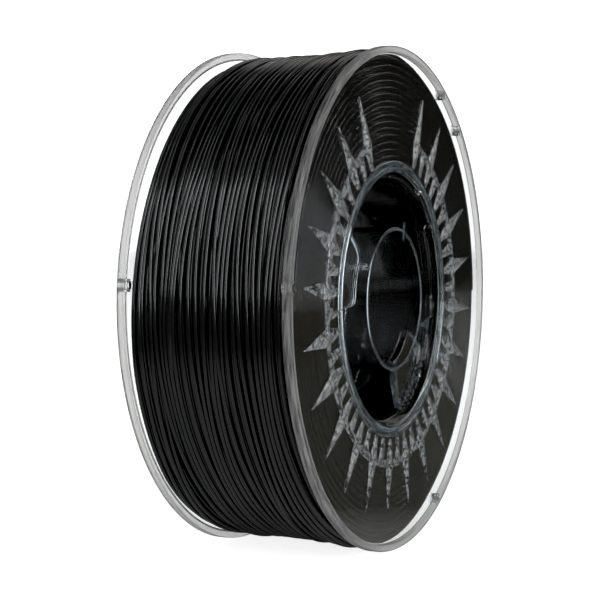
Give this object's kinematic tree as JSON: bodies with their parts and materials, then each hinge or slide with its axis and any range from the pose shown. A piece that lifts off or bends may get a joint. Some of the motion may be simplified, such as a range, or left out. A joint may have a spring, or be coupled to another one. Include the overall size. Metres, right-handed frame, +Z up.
{
  "type": "filament spool",
  "caption": "Clear moulded spool with two flanges, a hollow drum and an open hub, wound full of black filament for a 3D printer.",
  "frame": {"origin": "on the spool's axis, midway between the outer faces of the flanges, which is the centre of its box", "axes": "+Y along the spool's axis, from the front flange to the rear one; +Z up as the spool stands on its rims; +X to the right of someone facing the front flange"},
  "size_m": [0.1998, 0.07, 0.1998],
  "materials": {
    "clear_plastic": "clear moulded polystyrene, smooth and glossy",
    "filament": "black 1.75 mm filament, satin"
  },
  "bodies": {
    "root": {"front_flange": "clear_plastic", "front_sunburst": "clear_plastic", "front_drum_half": "clear_plastic", "front_hub_half": "clear_plastic", "front_web_left": "clear_plastic", "front_web_right": "clear_plastic", "front_eyelet_1": "clear_plastic", "front_eyelet_2": "clear_plastic", "front_eyelet_3": "clear_plastic", "front_eyelet_4": "clear_plastic", "rear_flange": "clear_plastic", "rear_sunburst": "clear_plastic", "rear_drum_half": "clear_plastic", "rear_hub_half": "clear_plastic", "rear_web_left": "clear_plastic", "rear_web_right": "clear_plastic", "rear_eyelet_1": "clear_plastic", "rear_eyelet_2": "clear_plastic", "rear_eyelet_3": "clear_plastic", "rear_eyelet_4": "clear_plastic", "filament_winding": "filament", "filament_inner_end": "filament", "filament_outer_end": "filament"}
  },
  "joints": []
}
